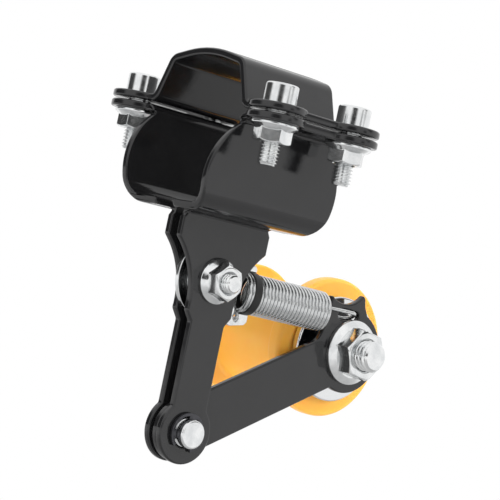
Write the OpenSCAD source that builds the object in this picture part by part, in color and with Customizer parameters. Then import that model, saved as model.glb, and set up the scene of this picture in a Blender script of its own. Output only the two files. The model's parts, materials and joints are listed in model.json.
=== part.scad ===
// Chain adjuster: two-part sheet clamp, sprung lever arm and a spool roller.
// Millimetres. +Z up. X runs along the clamped tube, the lever reaches to +X.
// Y runs along the roller's axis, which points away from the lever to +Y.
// Origin: middle of the clamp opening, on the parting plane of the flanges.

/* [Sheet and clamp] */
// Thickness of the clamp sheets and of the lever
sheet_t = 2.3; // [1.8:0.1:3]
// Gap left between the upper and the lower flanges
flange_gap = 0.8; // [0.4:0.1:3]
// Distance between the clamp screws along the tube
screw_pitch_x = 30; // [26:0.5:40]
// Distance between the clamp screws across the tube
screw_pitch_y = 64.8; // [60:0.2:80]
// Radius of the flange lobes round the screws
lobe_r = 8.7; // [8:0.1:11]
// Half width of the flange waist between two lobes, from the middle plane
waist_y = 35.3; // [33:0.1:38]
// Length of the upper clamp along the tube
upper_len = 36.8; // [32:0.2:44]
// Outer half width of the clamp walls at the flanges
wall_y = 22.4; // [19:0.1:24]
// Height of the upper clamp's outer corner above the parting plane
upper_corner_z = 15.4; // [10:0.1:22]
// Outer half width of the upper clamp at its corner
upper_corner_y = 17.4; // [14:0.1:21]
// Angle of the upper clamp's arched top at its corner
arch_angle = 12.5; // [5:0.5:25]
// Depth of the lower clamp below the parting plane
lower_depth = 31.3; // [26:0.1:40]
// Outer half width of the lower clamp at its floor
lower_floor_y = 19.4; // [16:0.1:22]
// Radius of the lower clamp's floor corners, on the sheet's middle
floor_bend_r = 6.5; // [4:0.5:9]
// Radius of the tight bends, on the sheet's middle
tight_bend_r = 2.6; // [2:0.1:4]
// Radius of the round cheeks of the lower clamp's walls
cheek_r = 20; // [16:0.5:22]
// Distance of the cheek centres from the middle plane
cheek_x = 6; // [3:0.5:9]
// Depth of the cheek centres below the parting plane
cheek_z = 20; // [17:0.5:23]

/* [Legs] */
// Gap between the two legs
leg_gap = 3.4; // [3:0.1:5]
// Half width of the legs below the clamp
leg_top_w = 17.6; // [15:0.1:20]
// Depth of the corner where the leg's waist begins
leg_corner_z = 39.2; // [37:0.1:42]
// Radius of the leg's hollow sides
leg_hollow_r = 24.75; // [20:0.25:30]
// Distance of the hollow's centre from the middle plane
leg_hollow_x = 33.6; // [31:0.1:37]
// Depth of the hollow's centre
leg_hollow_z = 58.2; // [56:0.1:61]
// Depth where the hollow sides end
leg_tooth_z = 60.5; // [59:0.1:62]
// Half width of the legs above the pivot
leg_low_w = 6.7; // [6:0.1:8]
// Depth of the lever's pivot below the parting plane
pivot_z = 96.8; // [90:0.2:105]
// Radius of the legs' round end
pivot_end_r = 9.9; // [9:0.1:12]
// Depth of the spring bolt
spring_bolt_z = 50.1; // [48:0.1:52]

/* [Lever and roller] */
// Roller axis along X
roller_x = 63.7; // [58:0.1:70]
// Depth of the roller axis
roller_z = 63.5; // [58:0.1:70]
// Width of the lever's bar
bar_w = 17.1; // [14:0.1:20]
// Radius of the lever's boss round the roller bolt
boss_r = 13.6; // [12:0.1:15]
// Radius of the scallop between the ear's tips
scallop_r = 9.6; // [8:0.1:11]
// Outer radius of the roller's flanges
roller_r = 23; // [20:0.5:26]
// Radius of the roller's groove
groove_r = 17; // [15:0.5:19]
// Length of the roller
roller_len = 46; // [36:0.5:50]
// Thickness of the roller's flange rims
rim_w = 5; // [4:0.1:7]
// Rounding of the roller's rims
rim_round = 1.6; // [0.8:0.1:2]
// Outer radius of the polished washer beside the roller
big_washer_r = 17.4; // [14:0.1:19]
// Thickness of that washer
big_washer_t = 3; // [2:0.1:4]
// Length of the spacer between the lever and that washer
spacer_len = 3.85; // [2:0.05:6]

/* [Spring] */
// Outer diameter of the spring
spring_od = 12.6; // [11:0.1:13.5]
// Diameter of the spring wire
wire_d = 1.35; // [1.2:0.05:1.5]
// Left end of the close turns along X
coil_x = 18.9; // [18.5:0.1:21]
// Depth of the spring's axis at that end
coil_z = 51.7; // [50:0.1:53]
// Sideways place of the spring's axis at that end
coil_y = 0.9; // [0.4:0.1:1.4]
// Downward slope of the spring's axis, degrees
coil_slope = 0.5; // [0:0.1:4]
// Sideways lean of the spring's axis away from the roller, degrees
coil_skew = 8; // [6:0.5:12]
// Distance of the hook's bend before the roller axis
hook_back = 2.3; // [1.7:0.1:4]
// Distance between the close turns and the hook's bend along X
hook_reach = 15.9; // [14:0.1:20]
// Depth of the hook's bend
hook_z = 51.9; // [51.5:0.1:52]
// Radius of the hook's bend, on the wire's middle
hook_r = 2.5; // [2.3:0.1:2.7]
// Tilt of the hook out of the level plane, degrees
hook_tilt = 28; // [20:1:30]
// Radius of the round part of the anchor
anchor_r = 11.9; // [11:0.1:13]
// Distance of the anchor's straight edge from the middle plane
anchor_x = 18.9; // [17.5:0.1:20]
// Width of the anchor's straight edge across the notch
anchor_w = 17.6; // [17:0.1:20]
// Thickness of the anchor
anchor_t = 1.5; // [1.2:0.1:1.8]

/* [Fasteners] */
// Clamp screw and spring bolt diameter
screw_d = 6; // [5:1:6]
// Roller bolt diameter
roller_bolt_d = 10; // [8:1:10]
// Pivot pin diameter
pin_d = 9; // [8:0.5:9]
// Running clearance of the pin in its holes, on the radius
run_gap = 0.05; // [0.02:0.01:0.1]
// Clearance of a bolt in a plain hole, on the radius
bolt_gap = 0.2; // [0.1:0.05:0.3]
// Depth of the clamp screws' tips below the parting plane
screw_tip_z = 15.1; // [14:0.1:18]
// Length of the spring bolt in front of the legs
spring_bolt_tip = 8.5; // [8:0.5:12]
// Length of the roller bolt in front of the lever
roller_bolt_tip = 12.35; // [11:0.05:16]

/* [Hidden] */
$fn = 48;
bend_steps = 7;
eps = 0.02;
flange_mid = flange_gap / 2 + sheet_t / 2;
flange_top = flange_gap / 2 + sheet_t;
half_len = upper_len / 2;
sx = screw_pitch_x / 2;
sy = screw_pitch_y / 2;
leg_in = leg_gap / 2;
leg_out = leg_in + sheet_t;
leg_mid = leg_in + sheet_t / 2;
screw_r = screw_d / 2 - 0.02;
thread_r = screw_d / 2;
lever_y0 = run_gap - leg_in;
lever_y1 = lever_y0 + sheet_t;
lever_angle = atan2(pivot_z - roller_z, roller_x);
spacer_y0 = lever_y1;
washer_y0 = spacer_y0 + spacer_len;
washer_y1 = washer_y0 + big_washer_t;
roller_y0 = washer_y1 + 0.25;
roller_y1 = roller_y0 + roller_len;
race_w = 8;
race_in_r = roller_bolt_d / 2 + 0.03;
race_mid_r = 9;
race_a_r = 7.4;
race_b_r = 10.6;
race_out_r = 13;
ball_r = 2.38;
far_washer_y = roller_y1 + 0.3;
far_washer_t = 2;
coil_r = spring_od / 2 - wire_d / 2;
ring_w = 2 * wire_d;
hook_x = roller_x - hook_back;
coil_len = (hook_x - hook_reach - coil_x) / cos(coil_skew);
turns = round(coil_len / wire_d);
turn_pitch = coil_len / turns;
hook_y = (lever_y0 + lever_y1) / 2;
strand_y = hook_y - hook_r * cos(hook_tilt);
strand_z = -hook_z + hook_r * sin(hook_tilt);
end_x = coil_x + coil_len * cos(coil_skew);
end_y = coil_y - coil_len * sin(coil_skew);
end_z = -coil_z - coil_len * sin(coil_slope);
strand_turn = atan2(strand_z - end_z, strand_y - end_y);
tail_x = -ring_w - 0.1 - wire_d * 1.5;
tail_drop = coil_r + 2.7;
anchor_y1 = leg_in - eps;
anchor_y0 = anchor_y1 - anchor_t;
notch_gap = 0.3;
notch_top = -coil_z + spring_od / 2 + 0.1 + notch_gap;
notch_bottom = -coil_z - spring_od / 2 - notch_gap;
socket_af = screw_d * 5 / 6;
screw_af = screw_d * 5 / 3;
screw_flange_r = screw_d * 1.18;
screw_foot = screw_d * 0.15;
roller_af = roller_bolt_d * 1.6;
roller_nut_af = roller_bolt_d * 1.5;
roller_flange_r = roller_bolt_d * 1.06;
roller_foot = roller_bolt_d * 0.14;
slot_r = 1.7;
slot_len = 6;
slot_x1 = hook_x + hook_r + wire_d / 2 + 0.3 - slot_r;

// which node to draw

// Helpers
function unit(v) = v / norm(v);
function leftn(v) = [-v.y, v.x] / norm(v);

// points of a bend at corner b of a sheet's middle line, s mm to its left
function bend(a, b, c, r, s) =
  let (u = unit(a - b), w = unit(c - b))
  let (half = acos(u * w) / 2, turn = sign(cross(b - a, c - b)))
  let (o = b + unit(u + w) * (r / sin(half)))
  let (p = b + u * (r / tan(half)) - o, q = b + w * (r / tan(half)) - o)
  let (a0 = atan2(p.y, p.x), a1 = atan2(q.y, q.x))
  let (da = (a1 - a0 + 540) % 360 - 180, rr = r - s * turn)
  [for (i = [0:bend_steps]) o + rr * [cos(a0 + da * i / bend_steps), sin(a0 + da * i / bend_steps)]];

// one side of a bent sheet whose middle line runs through P with bend radii R
function side(P, R, s) =
  let (n = len(P) - 1)
  concat(
    [P[0] + s * leftn(P[1] - P[0])],
    [for (i = [1:n - 1]) each bend(P[i - 1], P[i], P[i + 1], R[i], s)],
    [P[n] + s * leftn(P[n] - P[n - 1])]
  );

function rev(v) = [for (i = [len(v) - 1:-1:0]) v[i]];

// bent sheet as a prism along X, with its section given in Y and Z
module bent_sheet(P, R, half_x) {
  rotate([90, 0, 90])
    translate([0, 0, -half_x])
      linear_extrude(2 * half_x)
        polygon(concat(side(P, R, sheet_t / 2), rev(side(P, R, -sheet_t / 2))));
}

// prism along Y between y0 and y1 over a shape drawn in X and Z
module along_y(y0, y1) {
  translate([0, y1, 0])
    rotate([90, 0, 0])
      linear_extrude(y1 - y0)
        children();
}

// body turned about an axis along Y through x, z; profile in [radius, y]
module turned(x, z, pts) {
  translate([x, 0, z])
    rotate([-90, 0, 0])
      rotate_extrude()
        polygon(pts);
}

// plain bar with chamfered end, along +Z from z0 to z1
module rod(r, z0, z1, c) {
  rotate_extrude()
    polygon([[0, z0], [r, z0], [r, z1 - c], [r - c, z1], [0, z1]]);
}

// flange nut, seat at z = 0, thread towards +Z
module flange_nut(d, flange_r, af, h, foot) {
  corner = af / 2 / cos(30);
  difference() {
    union() {
      intersection() {
        cylinder(r = corner, h = h, $fn = 6);
        rotate_extrude()
          polygon([[0, 0], [corner + 1, 0], [corner + 1, h - 1], [corner - 0.1, h - 0.55],
                   [af / 2 - 0.35, h], [0, h]]);
      }
      rotate_extrude()
        polygon([[0, 0], [flange_r, 0], [flange_r, foot], [corner - 0.5, foot + 1.3], [0, foot + 1.3]]);
    }
    translate([0, 0, -1])
      cylinder(r = d / 2, h = h + 2);
    translate([0, 0, h - 0.6])
      cylinder(r1 = d / 2, r2 = d / 2 + 0.7, h = 0.7);
  }
}

// hexagon bolt, head seat at z = 0, shank to -Z, head to +Z
module hex_bolt(d, af, k, length, c) {
  corner = af / 2 / cos(30);
  union() {
    intersection() {
      cylinder(r = corner, h = k, $fn = 6);
      rotate_extrude()
        polygon([[0, 0], [corner + 1, 0], [corner + 1, k - 0.8], [af / 2 - 0.3, k], [0, k]]);
    }
    mirror([0, 0, 1])
      rod(d / 2 - 0.02, -0.5, length, c);
  }
}

// Clamp
module flange_outline() {
  for (m = [0, 1])
    mirror([0, m])
      difference() {
        union() {
          for (k = [-1, 1])
            translate([k * sx, sy])
              circle(r = lobe_r);
          translate([-half_len, 0])
            square([upper_len, waist_y]);
        }
        for (k = [-1, 1])
          translate([k * sx, sy])
            circle(r = thread_r + bolt_gap);
      }
}

module upper_clamp() {
  lean = (wall_y - upper_corner_y) / (upper_corner_z - flange_top);
  cy = upper_corner_y - sheet_t * 0.55;
  cz = upper_corner_z - sheet_t / 2;
  by = cy + lean * (cz - flange_mid);
  path = [[sy + lobe_r + 1, flange_mid], [by, flange_mid], [cy, cz],
          [0, cz + cy * tan(arch_angle)],
          [-cy, cz], [-by, flange_mid], [-sy - lobe_r - 1, flange_mid]];
  color("#232323")
    intersection() {
      bent_sheet(path, [0, tight_bend_r, 3.4, 44, 3.4, tight_bend_r, 0], 30);
      union() {
        translate([0, 0, -1])
          linear_extrude(flange_top + 1 + 0.01)
            flange_outline();
        translate([-half_len, -wall_y - 1, -1])
          cube([upper_len, 2 * wall_y + 2, upper_corner_z + 12]);
      }
    }
}

module leg_shape() {
  difference() {
    union() {
      for (m = [0, 1])
        mirror([m, 0])
          polygon([[-0.1, -lower_depth + 3], [leg_top_w - 1, -lower_depth + 3], [leg_top_w - 1, -lower_depth - 0.6],
                   [leg_top_w, -lower_depth - 2.2], [leg_top_w, -leg_corner_z],
                   [leg_top_w - 2, -leg_tooth_z], [leg_low_w + 2.2, -leg_tooth_z],
                   [leg_low_w, -leg_tooth_z - 3], [leg_low_w, -pivot_z], [-0.1, -pivot_z]]);
      translate([0, -pivot_z])
        circle(r = pivot_end_r);
    }
    for (k = [-1, 1])
      translate([k * leg_hollow_x, -leg_hollow_z])
        circle(r = leg_hollow_r);
    translate([0, -pivot_z])
      circle(r = pin_d / 2 + run_gap);
    translate([0, -spring_bolt_z])
      circle(r = thread_r + bolt_gap);
  }
}

module cheek_shape() {
  intersection() {
    union() {
      for (k = [-1, 1])
        translate([k * cheek_x, -cheek_z])
          circle(r = cheek_r);
      translate([-half_len + 0.8, -lower_depth])
        square([upper_len - 1.6, lower_depth]);
    }
    translate([-40, -lower_depth - 0.01])
      square([80, lower_depth - flange_gap / 2 - 1]);
  }
}

module pressing() {
  floor_z = -lower_depth + sheet_t / 2;
  path = [[sy + lobe_r + 1, -flange_mid], [wall_y - sheet_t / 2, -flange_mid],
          [lower_floor_y - sheet_t / 2, floor_z], [leg_mid, floor_z],
          [leg_mid, -pivot_z - pivot_end_r - 1]];
  intersection() {
    bent_sheet(path, [0, tight_bend_r, floor_bend_r, 2.4, 0], 30);
    union() {
      translate([0, 0, -flange_top - 0.01])
        linear_extrude(flange_top + 1)
          flange_outline();
      along_y(leg_out - 0.2, wall_y + 2)
        cheek_shape();
      along_y(-1, leg_out + 3)
        leg_shape();
    }
  }
}

module front_bracket() {
  color("#232323")
    mirror([0, 1, 0])
      pressing();
}

module back_bracket() {
  color("#232323")
    pressing();
}

module clamp_screw(kx, ky) {
  head_r = screw_d * 5 / 6;
  color("#c9cbcc")
    translate([kx * sx, ky * sy, 0])
      difference() {
        union() {
          translate([0, 0, flange_top])
            rotate_extrude()
              polygon([[0, 0], [head_r, 0], [head_r, screw_d - 0.5], [head_r - 0.5, screw_d], [0, screw_d]]);
          translate([0, 0, flange_top + 0.5])
            mirror([0, 0, 1])
              rod(screw_r, 0, screw_tip_z + flange_top + 0.5, 0.7);
        }
        translate([0, 0, flange_top + screw_d - 3])
          cylinder(r = socket_af / 2 / cos(30), h = 4, $fn = 6);
      }
}

module clamp_screw_front_left() {
  clamp_screw(-1, -1);
}

module clamp_screw_front_right() {
  clamp_screw(1, -1);
}

module clamp_screw_back_left() {
  clamp_screw(-1, 1);
}

module clamp_screw_back_right() {
  clamp_screw(1, 1);
}

module clamp_nut(kx, ky, turn) {
  color("#c9cbcc")
    translate([kx * sx, ky * sy, -flange_top - 0.01])
      rotate([180, 0, turn])
        flange_nut(screw_d, screw_flange_r, screw_af, screw_d, screw_foot);
}

module clamp_nut_front_left() {
  clamp_nut(-1, -1, 12);
}

module clamp_nut_front_right() {
  clamp_nut(1, -1, 40);
}

module clamp_nut_back_left() {
  clamp_nut(-1, 1, 25);
}

module clamp_nut_back_right() {
  clamp_nut(1, 1, 5);
}

// Spring and its anchor
module spring_bolt() {
  color("#c9cbcc")
    translate([0, leg_out + 0.01, -spring_bolt_z])
      rotate([-90, 0, 0])
        hex_bolt(screw_d, screw_af, screw_d * 2 / 3, 2 * leg_out + spring_bolt_tip, screw_foot);
}

module spring_nut() {
  color("#c9cbcc")
    translate([0, -leg_out - 0.01, -spring_bolt_z])
      rotate([90, 18, 0])
        flange_nut(screw_d, screw_flange_r, screw_af, screw_d, screw_foot);
}

module spring_anchor() {
  top = -coil_z + anchor_w / 2;
  bottom = top - anchor_w - 2.2;
  tail = [coil_x + tail_x, -coil_z - tail_drop + 0.1];
  color("#c9cbcc")
    along_y(anchor_y0, anchor_y1)
      difference() {
        union() {
          translate([0, -spring_bolt_z])
            circle(r = anchor_r);
          polygon([[anchor_r / 3, -spring_bolt_z - anchor_r + 1], [tail.x - 2, bottom], [anchor_x - 1, bottom + 1],
                   [anchor_x, bottom + 2], [anchor_x, top - 0.8], [anchor_x - 0.8, top], [anchor_r / 3, top]]);
        }
        // notch round the ring and the spring's end turns
        translate([coil_x + tail_x - 1.1, notch_bottom])
          square([anchor_x, notch_top - notch_bottom]);
        translate([0, -spring_bolt_z])
          circle(r = thread_r + bolt_gap);
        // hole for the spring's tail
        translate(tail)
          circle(r = 1.1);
      }
}

module anchor_spacer() {
  y0 = -leg_in + eps;
  y1 = anchor_y0 - eps;
  color("#c9cbcc")
    turned(0, -spring_bolt_z, [[thread_r + 0.1, y0], [8, y0], [8, y1], [thread_r + 0.1, y1]]);
}

// frame of the spring: x along its axis from the left end of the close turns
module spring_frame() {
  translate([coil_x, coil_y, -coil_z])
    rotate([0, coil_slope, -coil_skew])
      children();
}

// close turns as one ribbed tube
function ribs(n, p, ro, dip) = [for (i = [0:n - 1]) each [[ro - dip, i * p], [ro, i * p + p * 0.25],
  [ro, i * p + p * 0.75]]];

module tension_spring() {
  ro = spring_od / 2;
  ri = ro - wire_d;
  color("#b9bbbd")
    spring_frame() {
      rotate([0, 90, 0])
        rotate_extrude()
          polygon(concat(ribs(turns, turn_pitch, ro, 0.45), [[ro - 0.5, coil_len], [ri, coil_len], [ri, 0]]));
      // cross wire of the last turn, where the hook leaves
      translate([coil_len - wire_d * 0.8, 0, 0])
        rotate([strand_turn - 90, 0, 0])
          translate([0, 0, -coil_r])
            cylinder(r = wire_d / 2, h = 2 * coil_r);
      // end turns beyond the ring, with the tail through the anchor's hole
      for (k = [0, 1])
        translate([-ring_w - 0.15 - wire_d / 2 - k * (wire_d - 0.05), 0, 0])
          rotate([0, 90, 0])
            rotate_extrude()
              translate([coil_r, 0])
                circle(r = wire_d / 2, $fn = 24);
      translate([-ring_w - 1.2, 0, coil_r - 0.5])
        rotate([0, 90, 0])
          cylinder(r = 0.6, h = ring_w + 2);
      translate([tail_x, -2.3, -tail_drop])
        cylinder(r = 0.65, h = 3.2);
      translate([tail_x, -2.3, -tail_drop])
        rotate([-90, 0, 0])
          cylinder(r = 0.65, h = 3.6);
    }
  // hook through the slot in the lever's ear
  color("#b9bbbd")
    translate([hook_x, hook_y, -hook_z])
      rotate([-hook_tilt, 0, 0]) {
        rotate([0, 0, -90])
          rotate_extrude(angle = 180)
            translate([hook_r, 0])
              circle(r = wire_d / 2);
        translate([end_x - wire_d - hook_x, -hook_r, 0])
          rotate([0, 90, 0])
            cylinder(r = wire_d / 2, h = hook_x - end_x + wire_d + 0.01);
        translate([-4.4, hook_r, 0])
          rotate([0, 90, 0])
            cylinder(r = wire_d / 2, h = 4.41);
      }
}

module spring_ring() {
  ro = spring_od / 2 + 0.1;
  color("#181818")
    spring_frame()
      rotate([0, 90, 0])
        rotate_extrude()
          polygon([[coil_r + 0.25, -ring_w - 0.05], [ro - 0.4, -ring_w - 0.05], [ro, -ring_w + 0.35],
                   [ro, -0.45], [ro - 0.4, -0.05], [coil_r + 0.25, -0.05]]);
}

// Pivot
module pivot_pin() {
  r = pin_d / 2;
  g0 = -leg_out - 1.25;
  g1 = -leg_out - 0.15;
  color("#d4d5d6")
    turned(0, -pivot_z, [[0, -7.9], [r - 0.4, -7.9], [r, -7.5], [r, g0], [r - 0.6, g0], [r - 0.6, g1], [r, g1],
                         [r, leg_out + 0.02], [r + 2, leg_out + 0.02], [r + 2, leg_out + 2.1],
                         [r + 1.6, leg_out + 2.5], [0, leg_out + 2.5]]);
}

module pivot_clip() {
  r = pin_d / 2;
  color("#3a3a3c")
    along_y(-leg_out - 1.2, -leg_out - 0.2)
      translate([0, -pivot_z])
        rotate(-12)
          difference() {
            union() {
              difference() {
                circle(r = r + 1.7);
                circle(r = r + 0.7);
              }
              for (a = [-20, 90, 200])
                rotate(a)
                  translate([r - 1, -1.5])
                    square([2.2, 3]);
            }
            circle(r = r - 0.55);
            polygon([[0, 0], [-6, -9], [6, -9]]);
          }
}

module pivot_washer() {
  color("#c9cbcc")
    turned(0, -pivot_z, [[pin_d / 2 + run_gap, lever_y1 + 0.04], [8, lever_y1 + 0.04], [8, leg_in - 0.04],
                         [pin_d / 2 + run_gap, leg_in - 0.04]]);
}

// Lever and roller
module lever_shape() {
  n = [-sin(lever_angle), cos(lever_angle)];
  left_x = roller_x - boss_r;
  top_z = -roller_z;
  // height of the bar's upper edge at the ear's left side
  edge_z = -pivot_z + left_x * tan(lever_angle) + bar_w / 2 / cos(lever_angle);
  fillet = 5;
  fx = left_x - fillet;
  fz = -pivot_z + fx * tan(lever_angle) + (bar_w / 2 + fillet) / cos(lever_angle);
  difference() {
    union() {
      translate([0, -pivot_z])
        circle(r = pivot_end_r - 0.5);
      translate([0, -pivot_z])
        rotate(lever_angle)
          translate([0, -bar_w / 2])
            square([norm([roller_x, pivot_z - roller_z]), bar_w]);
      translate([roller_x, top_z])
        circle(r = boss_r);
      difference() {
        union() {
          polygon([[roller_x + 9.6, top_z], [roller_x + 8.6, top_z + 8.6], [roller_x + 5, top_z + 12.7],
                   [roller_x + 3.4, top_z + 15.4], [roller_x + 2.6, top_z + 18.2], [roller_x + 0.6, top_z + 19.6],
                   [left_x + 2.2, top_z + 18], [left_x + 1.2, top_z + 16.5], [left_x, top_z + 5], [left_x, top_z]]);
        }
        translate([roller_x - 6.3, top_z + 24.6])
          circle(r = scallop_r);
      }
      difference() {
        polygon([[fx + fillet * sin(lever_angle), fz - fillet * cos(lever_angle)], [left_x + 0.2, edge_z - 1],
                 [left_x + 0.2, fz], [left_x - 2, fz], [fx + fillet * sin(lever_angle), fz - 3]]);
        translate([fx, fz])
          circle(r = fillet);
      }
    }
    translate([0, -pivot_z])
      circle(r = pin_d / 2 + run_gap);
    translate([roller_x, top_z])
      circle(r = roller_bolt_d / 2 + bolt_gap);
    // slot for the spring's hook
    for (x = [slot_x1 - slot_len, slot_x1])
      translate([x, -hook_z])
        circle(r = slot_r);
    translate([slot_x1 - slot_len, -hook_z - slot_r])
      square([slot_len, 2 * slot_r]);
  }
}

module lever_arm() {
  color("#232323")
    along_y(lever_y0, lever_y1)
      lever_shape();
}

module roller_bolt() {
  y1 = far_washer_y + far_washer_t + 0.01;
  color("#c9cbcc")
    translate([roller_x, y1, -roller_z])
      rotate([-90, 12, 0])
        hex_bolt(roller_bolt_d, roller_af, roller_bolt_d * 0.64, y1 - lever_y0 + roller_bolt_tip, roller_bolt_d * 0.12);
}

module roller_nut() {
  color("#c9cbcc")
    translate([roller_x, lever_y0 - 0.01, -roller_z])
      rotate([90, 10, 0])
        flange_nut(roller_bolt_d, roller_flange_r, roller_nut_af, roller_bolt_d * 0.8, roller_foot);
}

module lever_spacer() {
  color("#232323")
    turned(roller_x, -roller_z, [[5.1, spacer_y0 + 0.01], [9.5, spacer_y0 + 0.01], [9.5, washer_y0 - 0.01],
                                 [5.1, washer_y0 - 0.01]]);
}

module roller_washer() {
  c = 0.4;
  color("#dfe0e1")
    turned(roller_x, -roller_z, [[5.1, washer_y0], [big_washer_r - c, washer_y0], [big_washer_r, washer_y0 + c],
                                 [big_washer_r, washer_y1 - c], [big_washer_r - c, washer_y1], [5.1, washer_y1]]);
}

// inner race between ya and yb with its ball track at yc
module inner_race(ya, yb, yc) {
  color("#c2c4c6")
    difference() {
      turned(roller_x, -roller_z, [[race_in_r, ya], [race_a_r, ya], [race_a_r, yb], [race_in_r, yb]]);
      translate([roller_x, yc, -roller_z])
        rotate([90, 0, 0])
          rotate_extrude()
            translate([race_mid_r, 0])
              circle(r = ball_r + 0.06);
    }
}

module outer_race(ya, yb, yc) {
  color("#c2c4c6")
    difference() {
      turned(roller_x, -roller_z, [[race_b_r, ya], [race_out_r, ya], [race_out_r, yb], [race_b_r, yb]]);
      translate([roller_x, yc, -roller_z])
        rotate([90, 0, 0])
          rotate_extrude()
            translate([race_mid_r, 0])
              circle(r = ball_r + 0.06);
    }
}

module ball_cage(yc) {
  color("#c2c4c6")
    translate([roller_x, yc, -roller_z])
      rotate([90, 0, 0])
        union() {
          for (i = [0:6])
            rotate(i * 360 / 7)
              translate([race_mid_r, 0, 0])
                sphere(r = ball_r, $fn = 24);
          rotate_extrude()
            translate([race_mid_r - 0.6, -0.9])
              square([1.2, 1.8]);
        }
}

module seal(ya) {
  color("#181818")
    turned(roller_x, -roller_z, [[race_a_r + 0.1, ya], [race_b_r - 0.02, ya], [race_b_r - 0.02, ya + 0.7],
                                 [race_a_r + 0.1, ya + 0.7]]);
}

module near_inner_race() {
  inner_race(washer_y1 + 0.02, roller_y0 + race_w, roller_y0 + race_w / 2 + 0.2);
}

module near_outer_race() {
  outer_race(roller_y0 + 0.2, roller_y0 + race_w, roller_y0 + race_w / 2 + 0.2);
}

module near_ball_cage() {
  ball_cage(roller_y0 + race_w / 2 + 0.2);
}

module near_seal() {
  seal(roller_y0 + 0.4);
}

module far_inner_race() {
  inner_race(roller_y1 - race_w, far_washer_y - 0.02, roller_y1 - race_w / 2 - 0.2);
}

module far_outer_race() {
  outer_race(roller_y1 - race_w, roller_y1 - 0.2, roller_y1 - race_w / 2 - 0.2);
}

module far_ball_cage() {
  ball_cage(roller_y1 - race_w / 2 - 0.2);
}

module far_seal() {
  seal(roller_y1 - 1.1);
}

module bearing_sleeve() {
  y0 = roller_y0 + race_w + 0.02;
  y1 = roller_y1 - race_w - 0.02;
  color("#c2c4c6")
    turned(roller_x, -roller_z, [[race_in_r, y0], [6.6, y0], [6.6, y1], [race_in_r, y1]]);
}

module far_washer() {
  color("#c9cbcc")
    turned(roller_x, -roller_z, [[5.1, far_washer_y], [10.4, far_washer_y], [10.4, far_washer_y + far_washer_t],
                                 [5.1, far_washer_y + far_washer_t]]);
}

// quarter round of a rim's edge, k = -1 towards the near end, 1 towards the far end
function rim_arc(y, k) = [for (i = [0:5])
  [roller_r - rim_round + rim_round * (k < 0 ? sin(i * 18) : cos(i * 18)),
   y + rim_round * (k < 0 ? -cos(i * 18) : sin(i * 18))]];

module roller() {
  y0 = roller_y0;
  y1 = roller_y1;
  seat = race_out_r + 0.02;
  hub = race_b_r - 0.4;
  slope = 1.2;
  color("#f5a83c")
    turned(roller_x, -roller_z, concat(
      [[seat, y0]],
      rim_arc(y0 + rim_round, -1),
      [[roller_r, y0 + rim_w - 0.5], [roller_r - 0.5, y0 + rim_w], [groove_r + 0.8, y0 + rim_w + slope],
       [groove_r, y0 + rim_w + slope + 0.8], [groove_r, y1 - rim_w - slope - 0.8],
       [groove_r + 0.8, y1 - rim_w - slope], [roller_r - 0.5, y1 - rim_w], [roller_r, y1 - rim_w + 0.5]],
      rim_arc(y1 - rim_round, 1),
      [[seat, y1], [seat, y1 - race_w], [hub, y1 - race_w], [hub, y0 + race_w], [seat, y0 + race_w]]
    ));
}

upper_clamp();
front_bracket();
back_bracket();
clamp_screw_front_left();
clamp_screw_front_right();
clamp_screw_back_left();
clamp_screw_back_right();
clamp_nut_front_left();
clamp_nut_front_right();
clamp_nut_back_left();
clamp_nut_back_right();
spring_bolt();
spring_nut();
spring_anchor();
anchor_spacer();
tension_spring();
spring_ring();
pivot_pin();
pivot_clip();
pivot_washer();
lever_arm();
roller_bolt();
roller_nut();
lever_spacer();
roller_washer();
near_inner_race();
near_ball_cage();
near_outer_race();
near_seal();
far_inner_race();
far_ball_cage();
far_outer_race();
far_seal();
bearing_sleeve();
far_washer();
roller();
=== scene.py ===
"""Chain adjuster: sheet clamp, two legs, sprung lever and spool roller, dressed for the render."""
import json
import math

import bpy
from mathutils import Matrix, Vector

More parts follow.
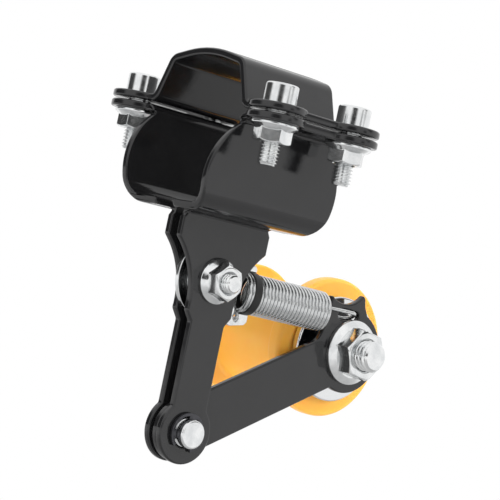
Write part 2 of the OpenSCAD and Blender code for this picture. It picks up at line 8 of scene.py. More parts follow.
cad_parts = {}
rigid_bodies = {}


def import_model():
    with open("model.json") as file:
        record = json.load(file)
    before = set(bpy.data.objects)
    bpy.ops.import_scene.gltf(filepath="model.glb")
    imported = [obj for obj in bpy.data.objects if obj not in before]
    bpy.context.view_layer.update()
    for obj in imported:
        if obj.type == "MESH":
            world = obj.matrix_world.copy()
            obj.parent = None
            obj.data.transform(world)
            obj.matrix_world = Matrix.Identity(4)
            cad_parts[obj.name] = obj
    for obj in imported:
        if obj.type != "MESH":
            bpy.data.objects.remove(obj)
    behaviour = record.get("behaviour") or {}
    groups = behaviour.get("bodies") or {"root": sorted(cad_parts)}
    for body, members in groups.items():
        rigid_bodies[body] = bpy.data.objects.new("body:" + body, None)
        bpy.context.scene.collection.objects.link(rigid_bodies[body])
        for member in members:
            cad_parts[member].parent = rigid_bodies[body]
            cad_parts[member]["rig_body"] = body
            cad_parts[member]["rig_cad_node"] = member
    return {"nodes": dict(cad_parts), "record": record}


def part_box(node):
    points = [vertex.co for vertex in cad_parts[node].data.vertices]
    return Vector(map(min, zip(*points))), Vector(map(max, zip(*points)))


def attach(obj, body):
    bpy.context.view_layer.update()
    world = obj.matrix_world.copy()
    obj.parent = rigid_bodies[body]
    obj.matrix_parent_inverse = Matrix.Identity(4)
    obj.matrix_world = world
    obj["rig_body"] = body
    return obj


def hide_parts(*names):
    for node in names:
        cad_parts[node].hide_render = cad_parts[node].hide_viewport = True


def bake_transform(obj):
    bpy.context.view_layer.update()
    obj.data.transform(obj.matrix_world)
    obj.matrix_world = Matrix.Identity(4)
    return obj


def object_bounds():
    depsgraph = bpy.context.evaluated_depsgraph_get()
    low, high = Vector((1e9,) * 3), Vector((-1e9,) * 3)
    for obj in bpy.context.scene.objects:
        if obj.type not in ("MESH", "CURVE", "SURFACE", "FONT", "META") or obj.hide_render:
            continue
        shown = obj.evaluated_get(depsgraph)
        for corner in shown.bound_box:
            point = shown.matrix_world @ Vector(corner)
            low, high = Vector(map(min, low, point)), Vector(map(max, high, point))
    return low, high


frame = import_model()
cad_low, cad_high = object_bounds()

mm = 0.001
origin = Vector((0, 0, 0))

# Camera, from the fit to the photograph
view_azimuth = -41.26
view_elevation = -1.79
view_roll = 11.71
view_distance = 579.74 * mm
view_target = Vector((13.94, 0, -38.46)) * mm
lens = 134.9
sensor = 36

# Rounding of the pressed and turned edges
clamp_edge = 0.7 * mm
leg_edge = 0.65 * mm
lever_edge = 0.6 * mm
short_edge = 0.19 * mm       # outline edges shorter than this are merged before the pressings are rounded
weld = 0.002 * mm            # vertices closer than this are one
stray = 0.06 * mm            # how far a rounded edge may stand out of its solid
too_deep = 0.8               # how far it may lie inside, as a share of the rounding
flat_angle = 0.4             # degrees within which faces count as one flat

# Threads, as shares of the pitch
m6_pitch = 1.0 * mm
m10_pitch = 1.5 * mm
thread_depth = 0.54
thread_crest = 0.40
thread_root = 0.10
tip_chamfer = 0.75
tip_slope = 0.9
thread_play = 0.02 * mm      # how much smaller than its nominal radius a thread is

# Cap screws
cap_h = 6 * mm
cap_rim = 0.7 * mm
cap_foot = 0.25 * mm
socket_af = 5 * mm
socket_depth = 3 * mm
m6_runout = 3.2 * mm

# Spring, a little fuller, longer and steeper than its solid
wire_d = 1.38 * mm
wire_drawn = 0.94            # share of the diameter that is drawn, so that a line shows between the turns
spring_od = 13.1 * mm
turns = 20
end_turns = 2
end_pitch = wire_d * 0.97
coil_len = 27.6 * mm
coil_start = Vector((18.9, 0.9, -51.8)) * mm
coil_slope = math.radians(1.6)
coil_skew = math.radians(8)
coil_r = spring_od / 2 - wire_d / 2
ring_w = 3.0 * mm
ring_gap = 0.15 * mm
ring_lip = 0.25 * mm
hook_centre = Vector((60.3, -0.5, -52.0)) * mm
hook_r = 2.5 * mm
hook_tilt = math.radians(28)
hook_lead = 2.2 * mm         # from the last turn to the start of the straight strand
hook_straight = (6 * mm, 3 * mm)
hook_return = 4.4 * mm       # how far the wire comes back past the bend
tail_drop = coil_r + 2.7 * mm
tail_back = 1.6 * mm
tail_front = 2.2 * mm
tail_corner = 1.0 * mm
tail_rise = 0.7 * mm

# Spool roller
groove_r = 17 * mm
groove_crown = 0.2 * mm
groove_flare = 1.4 * mm
rim_w = 5 * mm
hub_r = 10.2 * mm
seat_r = 13.02 * mm
seat_depth = 8 * mm

# Dark cards around the studio, which only mirrors see: azimuth, elevation, angle of the dark middle,
# angle of the soft rim, and the share of the light that the middle leaves
cards = [
    (view_azimuth, 0, 12, 24, 0.04),         # at the camera, for faces that look straight into it
    (14, 0, 4, 10, 0.15),                    # a narrow one, for a dark band on the round screw heads
    (-139, 0, 22, 36, 0.05),                 # on the left, for the ends of the pressings
    (41, 21, 10, 17, 0.05),                  # on the right, above the faces of legs and lever
    (view_azimuth + 180, 0, 8, 16, 0.08),    # behind, for faces seen at a glancing angle
]

# Lamps: name, azimuth, elevation, power in watts, width in metres
lamps = [("key", -75, 45, 5.5, 0.5), ("fill", 25, 30, 4.5, 0.6), ("back", 150, 40, 3.0, 0.6)]
lamp_distance = 0.9

# Light of the surroundings: how much falls on the part, and how mirrors see it fade towards the ground
sky_light = 0.95
ground_height = (-0.75, -0.10)
ground_light = 0.08

# Floor, in metres; it fades to plain white between these distances from its middle
floor_width = 12
floor_drop = 250 * mm
floor_fade = (0.45, 1.0)
floor_glow = 0.55            # how much of it is plain white already in the middle


def srgb(code):
    """Hex colour as linear red, green, blue, alpha."""
    parts = [int(code[i:i + 2], 16) / 255 for i in (1, 3, 5)]
    return [c / 12.92 if c <= 0.04045 else ((c + 0.055) / 1.055) ** 2.4 for c in parts] + [1.0]


def add(tree, kind, settings=None, inputs=None):
    """Adds a shader node with its settings; an input is a value or another node's socket."""
    node = tree.nodes.new(kind)
    for key, value in (settings or {}).items():
        setattr(node, key, value)
    for key, value in (inputs or {}).items():
        if isinstance(value, bpy.types.NodeSocket):
            tree.links.new(value, node.inputs[key])
        else:
            node.inputs[key].default_value = value
    return node


def new_material(name):
    """Empty material with its object coordinates and its surface shader."""
    material = bpy.data.materials.new(name)
    material.use_nodes = True
    tree = material.node_tree
    tree.nodes.clear()
    where = add(tree, "ShaderNodeTexCoord").outputs["Object"]
    surface = add(tree, "ShaderNodeBsdfPrincipled")
    add(tree, "ShaderNodeOutputMaterial", inputs={"Surface": surface.outputs["BSDF"]})
    return material, tree, where, surface


def noise(tree, where, size, detail=2.0, rough=0.5):
    """Noise whose largest blobs are about size metres wide."""
    inputs = {"Vector": where, "Scale": 1 / size, "Detail": detail, "Roughness": rough}
    return add(tree, "ShaderNodeTexNoise", inputs=inputs).outputs["Fac"]


def between(tree, value, low, high, to_low=0.0, to_high=1.0):
    """The value, moved from its low to high onto to_low to to_high and held there."""
    inputs = {"Value": value, "From Min": low, "From Max": high, "To Min": to_low, "To Max": to_high}
    return add(tree, "ShaderNodeMapRange", {"clamp": True}, inputs).outputs["Result"]


def mixed(tree, share, first, second):
    """The first colour where share is 0, the second where it is 1."""
    inputs = {0: share, 6: first, 7: second}
    return add(tree, "ShaderNodeMix", {"data_type": "RGBA"}, inputs).outputs[2]


def times(tree, first, second):
    return add(tree, "ShaderNodeMath", {"operation": "MULTIPLY"}, {0: first, 1: second}).outputs["Value"]


def larger(tree, first, second):
    return add(tree, "ShaderNodeMath", {"operation": "MAXIMUM"}, {0: first, 1: second}).outputs["Value"]


def colour(tree, surface, share, first, second):
    """Base colour that drifts between two hex colours."""
    tree.links.new(mixed(tree, share, srgb(first), srgb(second)), surface.inputs["Base Color"])


def roughness(tree, surface, pattern, smoothest, roughest, low=0.3, high=0.7):
    tree.links.new(between(tree, pattern, low, high, smoothest, roughest), surface.inputs["Roughness"])


def bump(tree, surface, height, strength, depth):
    inputs = {"Height": height, "Strength": strength, "Distance": depth}
    tree.links.new(add(tree, "ShaderNodeBump", inputs=inputs).outputs["Normal"], surface.inputs["Normal"])


def gloss_black_enamel():
    """Gloss black stoving enamel on pressed steel: deep black, a clear mirror skin, slight orange peel."""
    material, tree, where, surface = new_material("gloss_black_enamel")
    colour(tree, surface, noise(tree, where, 9 * mm, 3), "#141415", "#1b1b1c")
    roughness(tree, surface, noise(tree, where, 3 * mm, 4), 0.09, 0.15, 0.35)
    surface.inputs["IOR"].default_value = 1.56
    bump(tree, surface, noise(tree, where, 2.4 * mm, 1), 0.08, 0.05 * mm)
    return material


def zinc_plated_steel():
    """Bright zinc plate on forged and rolled steel: pale grey, a clear but uneven mirror, fine scuffs."""
    material, tree, where, surface = new_material("zinc_plated_steel")
    cloud = noise(tree, where, 4 * mm, 3)
    colour(tree, surface, between(tree, cloud, 0.35, 0.65), "#dcdedf", "#f0f1f1")
    surface.inputs["Metallic"].default_value = 1
    roughness(tree, surface, noise(tree, where, 1.5 * mm, 4, 0.6), 0.10, 0.20)
    bump(tree, surface, noise(tree, where, 2.0 * mm, 2), 0.06, 0.04 * mm)
    return material


def drawn_spring_wire():
    """Zinc-plated drawn wire: bright, with fine marks from the die."""
    material, tree, where, surface = new_material("drawn_spring_wire")
    colour(tree, surface, noise(tree, where, 1.5 * mm, 3), "#bfc1c2", "#e4e5e5")
    surface.inputs["Metallic"].default_value = 1
    roughness(tree, surface, noise(tree, where, 0.5 * mm, 4), 0.16, 0.28)
    bump(tree, surface, noise(tree, where, 0.35 * mm, 2), 0.12, 0.02 * mm)
    return material


def polished_steel():
    """Ground and polished steel: a clear, slightly uneven mirror with a faint grain from the wheel."""
    material, tree, where, surface = new_material("polished_steel")
    surface.inputs["Base Color"].default_value = srgb("#e6e7e8")
    surface.inputs["Metallic"].default_value = 1
    roughness(tree, surface, noise(tree, where, 1.4 * mm, 3), 0.07, 0.14)
    bump(tree, surface, noise(tree, where, 0.4 * mm, 2), 0.05, 0.02 * mm)
    return material


def blued_steel():
    """Blued spring steel of the clip: nearly black, with a satin metal sheen."""
    material, tree, where, surface = new_material("blued_steel")
    colour(tree, surface, noise(tree, where, 1.2 * mm, 3), "#3c3c3f", "#57575b")
    surface.inputs["Metallic"].default_value = 0.85
    roughness(tree, surface, noise(tree, where, 0.6 * mm, 3), 0.25, 0.4)
    bump(tree, surface, noise(tree, where, 0.3 * mm, 2), 0.15, 0.02 * mm)
    return material


def moulded_black_rubber():
    """Moulded rubber of the ring and seals: matt black with a fine grain."""
    material, tree, where, surface = new_material("moulded_black_rubber")
    colour(tree, surface, noise(tree, where, 1.0 * mm, 3), "#0b0b0b", "#171717")
    roughness(tree, surface, noise(tree, where, 0.5 * mm, 3), 0.38, 0.55)
    bump(tree, surface, noise(tree, where, 0.25 * mm, 2), 0.2, 0.03 * mm)
    return material


def amber_polyurethane():
    """Cast amber polyurethane: warm orange, light passes a little way in, satin skin."""
    material, tree, where, surface = new_material("amber_polyurethane")
    cloud = noise(tree, where, 14 * mm, 3)
    colour(tree, surface, between(tree, cloud, 0.3, 0.7), "#ffb13d", "#ffbd50")
    surface.inputs["Subsurface Weight"].default_value = 0.5
    surface.inputs["Subsurface Radius"].default_value = (1.0, 0.45, 0.12)
    surface.inputs["Subsurface Scale"].default_value = 2.5 * mm
    roughness(tree, surface, noise(tree, where, 2.5 * mm, 4), 0.30, 0.42)
    surface.inputs["IOR"].default_value = 1.49
    bump(tree, surface, noise(tree, where, 0.8 * mm, 3), 0.08, 0.04 * mm)
    return material


enamel = gloss_black_enamel()
zinc = zinc_plated_steel()
spring_wire = drawn_spring_wire()
polish = polished_steel()
blued = blued_steel()
rubber = moulded_black_rubber()
amber = amber_polyurethane()


def deselect():
    if bpy.context.object and bpy.context.object.mode != "OBJECT":
        bpy.ops.object.mode_set(mode="OBJECT")
    bpy.ops.object.select_all(action="DESELECT")


def only(piece):
    deselect()
    piece.select_set(True)
    bpy.context.view_layer.objects.active = piece


def edit_all(piece):
    only(piece)
    bpy.ops.object.mode_set(mode="EDIT")
    bpy.ops.mesh.select_all(action="SELECT")


def rename(piece, name):
    piece.name = name
    piece.data.name = name


def apply_modifiers(piece):
    only(piece)
    for modifier in list(piece.modifiers):
        bpy.ops.object.modifier_apply(modifier=modifier.name)


def round_edges(piece, radius, segments=3, angle=35):
    """Rounds the edges sharper than angle. Overlaps aren't clamped: one short edge would undo them all."""
    only(piece)
    bpy.ops.object.modifier_add(type="BEVEL")
    bevel = piece.modifiers[-1]
    bevel.width = radius
    bevel.segments = segments
    bevel.limit_method = "ANGLE"
    bevel.angle_limit = math.radians(angle)
    bevel.use_clamp_overlap = False
    apply_modifiers(piece)


def pulled_back(piece, source, radius):
    """Corners that the rounding threw out of the source's surface, or deep into it, are put back onto it."""
    for vertex in piece.data.vertices:
        _, point, normal, _ = source.closest_point_on_mesh(vertex.co)
        off = vertex.co - point
        outside = off.dot(normal) > stray and off.length > stray
        if outside or off.length > too_deep * radius:
            vertex.co = point
    edit_all(piece)
    bpy.ops.mesh.remove_doubles(threshold=0.01 * mm)
    bpy.ops.mesh.dissolve_degenerate(threshold=0.01 * mm)
    bpy.ops.object.mode_set(mode="OBJECT")


def smooth(piece, angle=35):
    only(piece)
    bpy.ops.object.shade_smooth_by_angle(angle=math.radians(angle))
    bpy.ops.object.modifier_add(type="WEIGHTED_NORMAL")
    piece.modifiers[-1].keep_sharp = True
    apply_modifiers(piece)


def body_of(node):
    bodies = frame["record"]["behaviour"]["bodies"]
    return next(name for name, nodes in bodies.items() if node in nodes)


def finish_piece(piece, material, node):
    """Gives the piece its material, and lets it ride and stand for its CAD node."""
    piece.data.materials.clear()
    piece.data.materials.append(material)
    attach(piece, body_of(node))
    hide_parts(node)


def dressed(node, material, radius, segments=2, angle=35, merge=weld, name=None):
    """A copy of a CAD node with its edges rounded, as paint, plating or a tumbling drum leaves them."""
    source = frame["nodes"][node]
    only(source)
    bpy.ops.object.duplicate()
    piece = bpy.context.object
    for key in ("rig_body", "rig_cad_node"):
        if key in piece:
            del piece[key]
    piece.parent = None
    rename(piece, name or node + "_piece")
    edit_all(piece)
    bpy.ops.mesh.customdata_custom_splitnormals_clear()
    bpy.ops.mesh.remove_doubles(threshold=merge)
    bpy.ops.mesh.dissolve_limited(angle_limit=math.radians(flat_angle))
    bpy.ops.object.mode_set(mode="OBJECT")
    round_edges(piece, radius, segments, angle)
    pulled_back(piece, source, radius)
    smooth(piece)
    finish_piece(piece, material, node)


def chain(name, points):
    """An edge chain through the points, pulled out of one vertex step by step."""
    deselect()
    bpy.ops.mesh.primitive_plane_add(size=mm, location=(0, 0, 0))
    piece = bpy.context.object
    rename(piece, name)
    bpy.ops.object.mode_set(mode="EDIT")
    bpy.ops.mesh.select_mode(type="VERT")
    bpy.ops.mesh.select_all(action="SELECT")
    bpy.ops.mesh.merge(type="CENTER")
    bpy.ops.transform.translate(value=points[0])
    for last, point in zip(points, points[1:]):
        step = Vector(point) - Vector(last)
        bpy.ops.mesh.extrude_region_move(TRANSFORM_OT_translate={"value": step})
    return piece


def turned(name, profile, centre, steps, upright=False):
    """A profile of (radius, height), spun about the Y line through centre, or about the Z line if upright."""
    if upright:
        points = [(centre.x + radius, centre.y, height) for radius, height in profile]
    else:
        points = [(centre.x + radius, height, centre.z) for radius, height in profile]
    piece = chain(name, points)
    bpy.ops.mesh.select_all(action="SELECT")
    axis = (0, 0, 1) if upright else (0, 1, 0)
    bpy.ops.mesh.spin(steps=steps, angle=2 * math.pi, center=centre, axis=axis)
    bpy.ops.mesh.select_all(action="SELECT")
    bpy.ops.mesh.remove_doubles(threshold=weld)
    bpy.ops.mesh.normals_make_consistent(inside=False)
    bpy.ops.object.mode_set(mode="OBJECT")
    return piece


def softened(corners):
    """A profile from corners of (radius, height, rounding, steps); a corner with no steps stays sharp.

    An arc takes up at most 0.45 of the sides next to it.
    """
    made = [corners[0][:2]]
    for before, corner, after in zip(corners, corners[1:], corners[2:]):
        rounding, steps = corner[2:]
        if not steps:
            made.append(corner[:2])
            continue
        tip = Vector(corner[:2])
        back, on = Vector(before[:2]) - tip, Vector(after[:2]) - tip
        half = back.angle(on) / 2
        cut = min(rounding / math.tan(half), back.length * 0.45, on.length * 0.45)
        back, on = back.normalized(), on.normalized()
        middle = tip + (back + on).normalized() * (cut / math.cos(half))
        start, end = tip + back * cut - middle, tip + on * cut - middle
        sweep = start.angle_signed(end)
        for i in range(steps + 1):
            c, s = math.cos(sweep * i / steps), math.sin(sweep * i / steps)
            made.append(tuple(middle + Vector((start.x * c + start.y * s, start.y * c - start.x * s))))
    made.append(corners[-1][:2])
    return made


def threaded_shank(radius, pitch, low, high, runout, around=48, per_turn=12):
    """A shank along +Z with a cut thread, which fades out runout below the upper end."""
    deselect()
    bpy.ops.mesh.primitive_cylinder_add(vertices=around, radius=radius, depth=high - low,
                                        location=(0, 0, (low + high) / 2))
    piece = bpy.context.object
    rename(piece, "shank")
    bpy.ops.object.transform_apply(location=True, rotation=True, scale=True)
    edit_all(piece)
    bpy.ops.mesh.select_all(action="DESELECT")
    bpy.ops.mesh.select_mode(type="EDGE")
    bpy.ops.object.mode_set(mode="OBJECT")
    for edge in piece.data.edges:
        a, b = (piece.data.vertices[i].co for i in edge.vertices)
        edge.select = abs(a.z - b.z) > pitch
    bpy.ops.object.mode_set(mode="EDIT")
    bpy.ops.mesh.subdivide_edgering(number_cuts=int((high - low) / pitch * per_turn), interpolation="LINEAR")
    bpy.ops.object.mode_set(mode="OBJECT")
    for vertex in piece.data.vertices:
        co = vertex.co
        reach = math.hypot(co.x, co.y)
        phase = (co.z / pitch - math.atan2(co.y, co.x) / (2 * math.pi)) % 1.0
        flank = (abs(phase - 0.5) - thread_root) / (thread_crest - thread_root)
        fade = min(1.0, max(0.0, (high - runout - co.z) / pitch))
        cut = thread_depth * pitch * (1 - min(1.0, max(0.0, flank))) * fade
        tip = max(0.0, tip_chamfer * pitch - (co.z - low)) * tip_slope
        share = (radius - max(cut, tip)) / reach
        co.x *= share
        co.y *= share
    return piece


def place(piece, matrix):
    piece.data.transform(matrix)
    piece.data.update()


def joined(name, parts):
    deselect()
    for part in parts:
        part.select_set(True)
    bpy.context.view_layer.objects.active = parts[0]
    bpy.ops.object.join()
    piece = bpy.context.object
    rename(piece, name)
    return piece


def carved(piece, tool, operation):
    """Cuts the tool out of the piece, or keeps what they share, and deletes the tool."""
    only(piece)
    bpy.ops.object.modifier_add(type="BOOLEAN")
    cut = piece.modifiers[-1]
    cut.operation = operation
    cut.solver = "EXACT"
    cut.object = tool
    apply_modifiers(piece)
    bpy.data.objects.remove(tool)


def nodes_named(start):
    return [node for node in frame["nodes"] if node.startswith(start)]


def pressings():
    """Clamp halves with their legs, and the lever."""
    for node, name, radius in (("upper_clamp", "clamp_top_pressing", clamp_edge),
                               ("front_bracket", "front_leg_pressing", leg_edge),
                               ("back_bracket", "back_leg_pressing", leg_edge),
                               ("lever_arm", "lever_pressing", lever_edge)):
        dressed(node, enamel, radius, 4, merge=short_edge, name=name)


def cap_screws():
    """Four cap screws: turned head with a hexagon socket, rolled thread below."""
    for node in nodes_named("clamp_screw"):
        low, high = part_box(node)
        centre = (low + high) / 2
        head_r = (high.x - low.x) / 2
        seat = high.z - cap_h
        overlap = 0.4 * mm
        shank = threaded_shank(3 * mm - thread_play, m6_pitch, low.z, seat + overlap, m6_runout)
        outline = softened([(0, high.z, 0, 0), (head_r, high.z, cap_rim, 5), (head_r, seat, cap_foot, 3),
                            (0, seat, 0, 0)])
        head = turned("head", outline, origin, 72, upright=True)
        bpy.ops.mesh.primitive_cylinder_add(vertices=6, radius=socket_af / 2 / math.cos(math.pi / 6),
                                            depth=2 * socket_depth, location=(0, 0, high.z))
        carved(head, bpy.context.object, "DIFFERENCE")
        piece = joined(node + "_piece", [head, shank])
        place(piece, Matrix.Translation((centre.x, centre.y, 0)))
        smooth(piece, 40)
        finish_piece(piece, zinc, node)


def nuts():
    for node in nodes_named("clamp_nut") + ["spring_nut"]:
        dressed(node, zinc, 0.16 * mm, angle=25)
    dressed("roller_nut", zinc, 0.22 * mm, angle=25)


def hexagon_head(af, height):
    """A hexagon head on the XY plane, its top corners turned down to a chamfer by a cone."""
    flat_r = af / 2
    cone_base, cone_top, cone_h = 1.62 * flat_r, 0.93 * flat_r, 1.6 * height
    deselect()
    bpy.ops.mesh.primitive_cylinder_add(vertices=6, radius=flat_r / math.cos(math.pi / 6), depth=height,
                                        location=(0, 0, height / 2))
    head = bpy.context.object
    bpy.ops.object.transform_apply(location=True, rotation=True, scale=True)
    bpy.ops.mesh.primitive_cone_add(vertices=72, radius1=cone_base, radius2=cone_top, depth=cone_h,
                                    location=(0, 0, height - cone_h / 2))
    carved(head, bpy.context.object, "INTERSECT")
    round_edges(head, 0.2 * mm, 2, 25)
    return head


def cross_bolts():
    """Bolts along Y: hexagon head at the back, threaded tip towards the front."""
    for node, d, pitch, af, head_h, runout in (
            ("spring_bolt", 6 * mm, m6_pitch, 10 * mm, 4 * mm, 9 * mm),
            ("roller_bolt", 10 * mm, m10_pitch, 16 * mm, 6.4 * mm, 50 * mm)):
        low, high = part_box(node)
        centre = (low + high) / 2
        length = high.y - head_h - low.y
        overlap = 0.3 * mm
        shank = threaded_shank(d / 2 - thread_play, pitch, -length, overlap, runout)
        piece = joined(node + "_piece", [hexagon_head(af, head_h), shank])
        turn = Matrix.Rotation(math.radians(-90), 4, "X")
        place(piece, Matrix.Translation((centre.x, high.y - head_h, centre.z)) @ turn)
        smooth(piece, 40)
        finish_piece(piece, zinc, node)


def pivot():
    dressed("pivot_pin", zinc, 0.35 * mm, 3)
    dressed("pivot_clip", blued, 0.12 * mm)
    dressed("pivot_washer", zinc, 0.05 * mm)


def along(t, turn=0.0, radius=0.0):
    """A point of the coil: t metres along its axis from the left end of the close turns."""
    local = Vector((t, radius * math.cos(turn), radius * math.sin(turn)))
    lean = Matrix.Rotation(-coil_skew, 4, "Z") @ Matrix.Rotation(coil_slope, 4, "Y")
    return coil_start + lean @ local


def coil_route(left):
    """End turns from left on, one steep turn under the ring, then the close turns."""
    per_turn = 28
    ring_left = left + end_turns * end_pitch
    points = []
    for i in range((end_turns + 1 + turns) * per_turn + 1):
        n = i / per_turn
        if n < end_turns:
            t = left + n * end_pitch
        elif n < end_turns + 1:
            s = n - end_turns
            t = ring_left + s * s * (3 - 2 * s) * (wire_d / 2 - ring_left)
        else:
            t = wire_d / 2 + (n - end_turns - 1) * (coil_len - wire_d) / turns
        points.append(along(t, 2 * math.pi * (n - 0.25), coil_r))
    return points


def tail_route(left):
    """The tail: through the anchor's hole from behind, round its edge and up to the first end turn."""
    end = along(left)
    hole = end - Vector((0, 0, tail_drop))
    return [hole + Vector((0, tail_back, 0)),
            hole - Vector((0, tail_front - tail_corner, 0)),
            hole + Vector((0, -tail_front, tail_rise)),
            end - Vector((0, tail_back, coil_r + 0.6 * mm))]


def hook_route(last):
    """From the last turn across to the near strand, round the bend and back."""
    lean = Matrix.Rotation(-hook_tilt, 4, "X")
    steps = 12
    flat = [Vector((last.x + hook_lead - hook_centre.x, -hook_r, 0))]
    flat += [Vector((-x, -hook_r, 0)) for x in hook_straight]
    for i in range(steps + 1):
        a = math.pi * i / steps
        flat.append(Vector((hook_r * math.sin(a), -hook_r * math.cos(a), 0)))
    flat += [Vector((-hook_return / 2, hook_r, 0)), Vector((-hook_return, hook_r, 0))]
    points = [hook_centre + lean @ point for point in flat]
    return [last.lerp(points[0], 0.45) + Vector((0.5 * mm, 0, 0))] + points


def spring():
    """The extension spring: one wire from the tail through the coil to the hook."""
    left = -ring_w - ring_gap - wire_d * 1.5
    coil = coil_route(left)
    route = tail_route(left) + coil + hook_route(coil[-1])
    curve = bpy.data.curves.new("tension_spring_wire", "CURVE")
    curve.dimensions = "3D"
    curve.bevel_depth = wire_d / 2 * wire_drawn
    curve.bevel_resolution = 4
    curve.use_fill_caps = True
    line = curve.splines.new("POLY")
    line.points.add(len(route) - 1)
    for point, co in zip(line.points, route):
        point.co = (*co, 1)
    piece = bpy.data.objects.new("tension_spring_wire", curve)
    bpy.context.scene.collection.objects.link(piece)
    only(piece)
    bpy.ops.object.convert(target="MESH")
    piece = bpy.context.object
    edit_all(piece)
    bpy.ops.mesh.remove_doubles(threshold=weld)
    bpy.ops.mesh.normals_make_consistent(inside=False)
    bpy.ops.object.mode_set(mode="OBJECT")
    smooth(piece, 60)
    piece.data.materials.clear()
    piece.data.materials.append(spring_wire)
    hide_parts("tension_spring")
    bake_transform(piece)


def spring_ring():
    """The rubber ring, turned upright and then laid on the coil's axis."""
    inner, outer = spring_od / 2 - wire_d, spring_od / 2 + ring_lip
    edge = (0.5 * mm, 4)
    outline = softened([(inner, -ring_w / 2, 0, 0), (inner, -ring_w, *edge), (outer, -ring_w, *edge),
                        (outer, 0, *edge), (inner, 0, *edge), (inner, -ring_w / 2, 0, 0)])
    ring = turned("spring_ring_piece", outline, origin, 72, upright=True)
    lean = Matrix.Rotation(-coil_skew, 4, "Z") @ Matrix.Rotation(coil_slope + math.pi / 2, 4, "Y")
    place(ring, Matrix.Translation(coil_start) @ lean)
    smooth(ring, 40)
    finish_piece(ring, rubber, "spring_ring")


def anchor():
    dressed("spring_anchor", zinc, 0.3 * mm, 3)
    dressed("anchor_spacer", zinc, 0.1 * mm)


def spool():
    """The spool roller, turned from one profile, with softly rounded rims and groove corners."""
    low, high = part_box("roller")
    centre = (low + high) / 2
    outer = (high.x - low.x) / 2
    half = [(hub_r, seat_depth, 0.2 * mm, 6), (seat_r, seat_depth, 0.2 * mm, 6), (seat_r, 0, 0.8 * mm, 6),
            (outer, 0, 1.6 * mm, 6), (outer, rim_w, 0.9 * mm, 6),
            (groove_r + groove_crown, rim_w + groove_flare, 1.8 * mm, 6)]
    near = [(radius, low.y + depth, *soft) for radius, depth, *soft in half]
    far = [(radius, high.y - depth, *soft) for radius, depth, *soft in reversed(half)]
    hub, waist = (hub_r, centre.y, 0, 0), (groove_r, centre.y, 0, 0)
    piece = turned("spool_roller", softened([hub, *near, waist, *far, hub]), centre, 144)
    smooth(piece, 40)
    finish_piece(piece, amber, "roller")


def hub_stack():
    """Washers, bearings and spacers on the roller bolt."""
    dressed("lever_spacer", enamel, 0.2 * mm)
    dressed("roller_washer", polish, 0.35 * mm)
    dressed("far_washer", zinc, 0.25 * mm)
    for ring, material, slot, radius in (("inner_race", polish, "polished_steel", 0.15 * mm),
                                         ("outer_race", polish, "polished_steel", 0.25 * mm),
                                         ("seal", rubber, "black_rubber", 0.15 * mm),
                                         ("ball_cage", polish, "polished_steel", 0.05 * mm)):
        for side in ("near_", "far_"):
            dressed(side + ring, material, radius)
    dressed("bearing_sleeve", zinc, 0.1 * mm)


pressings()
cap_screws()
nuts()
cross_bolts()
pivot()
spring()
spring_ring()
anchor()
spool()
hub_stack()


def direction(azimuth, elevation):
    a, e = math.radians(azimuth), math.radians(elevation)
    return Vector((math.sin(a) * math.cos(e), -math.cos(a) * math.cos(e), math.sin(e)))


def camera():
    data = bpy.data.cameras.new("camera")
    data.lens = lens
    data.sensor_width = sensor
    data.clip_start = 10 * mm
    cam = bpy.data.objects.new("camera", data)
    bpy.context.scene.collection.objects.link(cam)
    back = direction(view_azimuth, view_elevation)
    right = Vector((math.cos(math.radians(view_azimuth)), math.sin(math.radians(view_azimuth)), 0))
    up = back.cross(right)
    roll = math.radians(view_roll)
    x_axis = right * math.cos(roll) + up * math.sin(roll)
    y_axis = up * math.cos(roll) - right * math.sin(roll)
    axes = Matrix((x_axis, y_axis, back)).transposed().to_4x4()
    cam.matrix_world = Matrix.Translation(view_target + back * view_distance) @ axes
    bpy.context.scene.camera = cam


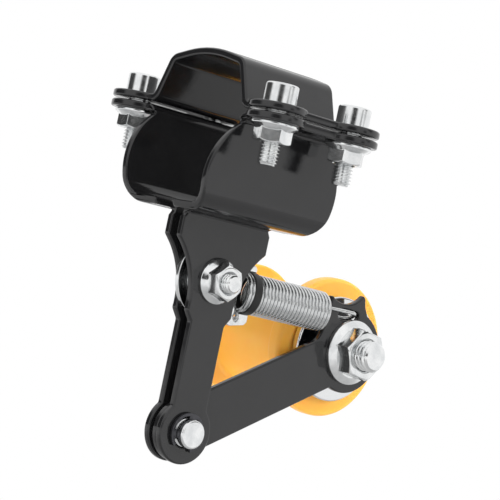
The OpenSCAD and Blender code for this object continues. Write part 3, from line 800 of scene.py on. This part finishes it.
def world():
    """White surroundings for the camera; mirrors see them fade to dark below, with the dark cards."""
    studio = bpy.data.worlds.new("studio")
    bpy.context.scene.world = studio
    studio.use_nodes = True
    tree = studio.node_tree
    tree.nodes.clear()
    path = add(tree, "ShaderNodeLightPath")
    way = add(tree, "ShaderNodeTexCoord").outputs["Generated"]
    height = add(tree, "ShaderNodeSeparateXYZ", inputs={"Vector": way}).outputs["Z"]
    light = between(tree, height, *ground_height, ground_light, 1.0)
    for azimuth, elevation, inner, outer, left in cards:
        towards = add(tree, "ShaderNodeVectorMath", {"operation": "DOT_PRODUCT"},
                      {0: way, 1: direction(azimuth, elevation)}).outputs["Value"]
        rim, middle = math.cos(math.radians(outer)), math.cos(math.radians(inner))
        light = times(tree, light, between(tree, towards, rim, middle, 1.0, left))
    mirrored = add(tree, "ShaderNodeCombineColor", inputs={"Red": light, "Green": light, "Blue": light})
    seen = larger(tree, path.outputs["Is Camera Ray"], path.outputs["Is Transmission Ray"])
    soft = mixed(tree, path.outputs["Is Glossy Ray"], (sky_light, sky_light, sky_light, 1),
                 mirrored.outputs["Color"])
    shown = mixed(tree, seen, soft, (1, 1, 1, 1))
    sky = add(tree, "ShaderNodeBackground", inputs={"Color": shown, "Strength": 1.0})
    add(tree, "ShaderNodeOutputWorld", inputs={"Surface": sky.outputs["Background"]})


def soft_lamps():
    for name, azimuth, elevation, power, width in lamps:
        data = bpy.data.lights.new(name, "AREA")
        data.energy = power
        data.size = width
        lamp = bpy.data.objects.new(name, data)
        bpy.context.scene.collection.objects.link(lamp)
        back = direction(azimuth, elevation)
        lamp.location = view_target + back * lamp_distance
        lamp.rotation_euler = back.to_track_quat("Z", "Y").to_euler()
        lamp.visible_glossy = False


def white_paper():
    """Matt white paper: the part's shadow shows on it near the part, and far off it is plain white."""
    material, tree, where, surface = new_material("white_paper")
    path = add(tree, "ShaderNodeLightPath")
    far = add(tree, "ShaderNodeVectorMath", {"operation": "LENGTH"}, {0: where}).outputs["Value"]
    seen = times(tree, path.outputs["Is Camera Ray"], between(tree, far, *floor_fade, floor_glow, 1.0))
    mirrored = times(tree, path.outputs["Is Glossy Ray"], between(tree, far, *floor_fade, 0.0, 1.0))
    # Painted shade: for reflections only, the paper's colour is a darker grey (0.3 instead of 0.8), so
    # mirrors see a dim floor near the part
    paper_grey_painted_dark_for_mirrors = mixed(tree, path.outputs["Is Glossy Ray"], (0.8, 0.8, 0.8, 1), (0.3, 0.3, 0.3, 1))
    tree.links.new(paper_grey_painted_dark_for_mirrors, surface.inputs["Base Color"])
    surface.inputs["Roughness"].default_value = 0.9
    glow = add(tree, "ShaderNodeEmission", inputs={"Color": (1, 1, 1, 1), "Strength": 1.0})
    shares = {0: larger(tree, seen, mirrored), 1: surface.outputs["BSDF"], 2: glow.outputs["Emission"]}
    both = add(tree, "ShaderNodeMixShader", inputs=shares)
    output = next(node for node in tree.nodes if node.type == "OUTPUT_MATERIAL")
    tree.links.new(both.outputs["Shader"], output.inputs["Surface"])
    return material


def floor():
    deselect()
    bpy.ops.mesh.primitive_plane_add(size=floor_width, location=(0, 0, 0))
    ground = bpy.context.object
    ground.name = "floor"
    place(ground, Matrix.Translation((0, 0, cad_low.z - floor_drop)))
    ground.data.materials.append(white_paper())


camera()
world()
soft_lamps()
floor()
bpy.context.scene.view_settings.view_transform = "Standard"
